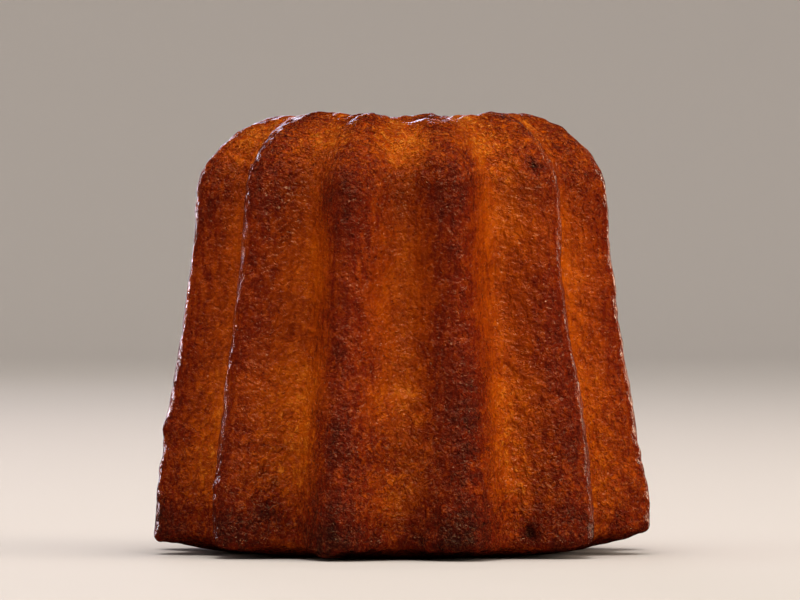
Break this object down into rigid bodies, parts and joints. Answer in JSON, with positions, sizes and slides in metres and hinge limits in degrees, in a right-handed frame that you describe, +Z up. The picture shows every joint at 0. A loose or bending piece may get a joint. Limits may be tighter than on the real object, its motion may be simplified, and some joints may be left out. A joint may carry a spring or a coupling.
{
  "type": "canele",
  "caption": "Small fluted cake with a rounded shoulder, a dimpled crown, a flared foot and a dark caramelised crust, standing upright on its flat base.",
  "frame": {"origin": "on the surface it stands on, at the middle of its outline, which is the axis of the mould", "axes": "+Z up along the mould's axis, from the flat base to the crown; -Y is the front, a flute between two ridges; +X to the right"},
  "size_m": [0.0534, 0.0534, 0.0478],
  "materials": {
    "caramelised_crust": "caramelised cake crust: deep amber in the flutes, dark brown on the ridges and the foot, waxy satin sheen"
  },
  "bodies": {
    "root": {"canele": "caramelised_crust"}
  },
  "joints": []
}
